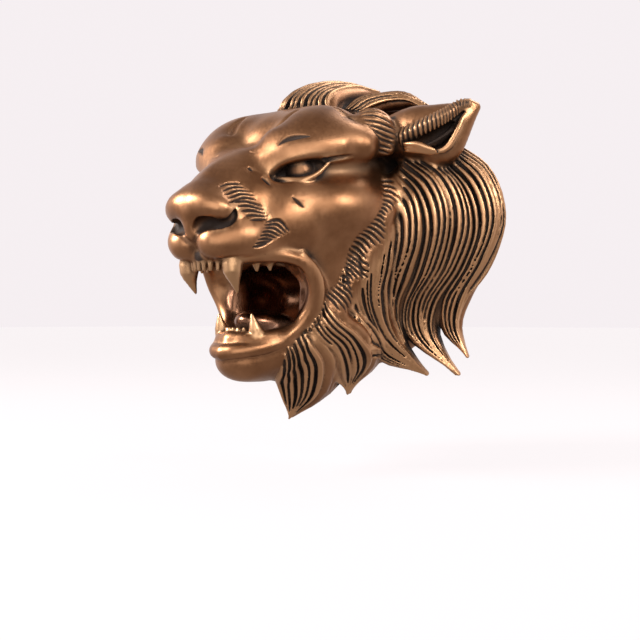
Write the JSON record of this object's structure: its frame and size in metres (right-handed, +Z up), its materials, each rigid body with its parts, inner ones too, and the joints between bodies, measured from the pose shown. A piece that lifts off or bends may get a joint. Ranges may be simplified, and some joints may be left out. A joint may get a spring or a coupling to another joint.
{
  "type": "lion head wall mask",
  "caption": "Roaring lion head wall mask in antiqued brass, with an open fanged mouth, laid-back ears and a flowing mane.",
  "frame": {"origin": "centre of the flat back, on the wall", "axes": "+Z up the wall, +Y into the wall, and the lion looks toward -Y"},
  "size_m": [0.379, 0.2663, 0.3547],
  "materials": {
    "antique_brass": "antiqued: polished on the ridges, black-brown in the grooves"
  },
  "bodies": {
    "root": {"lion_mask": "antique_brass"}
  },
  "joints": []
}
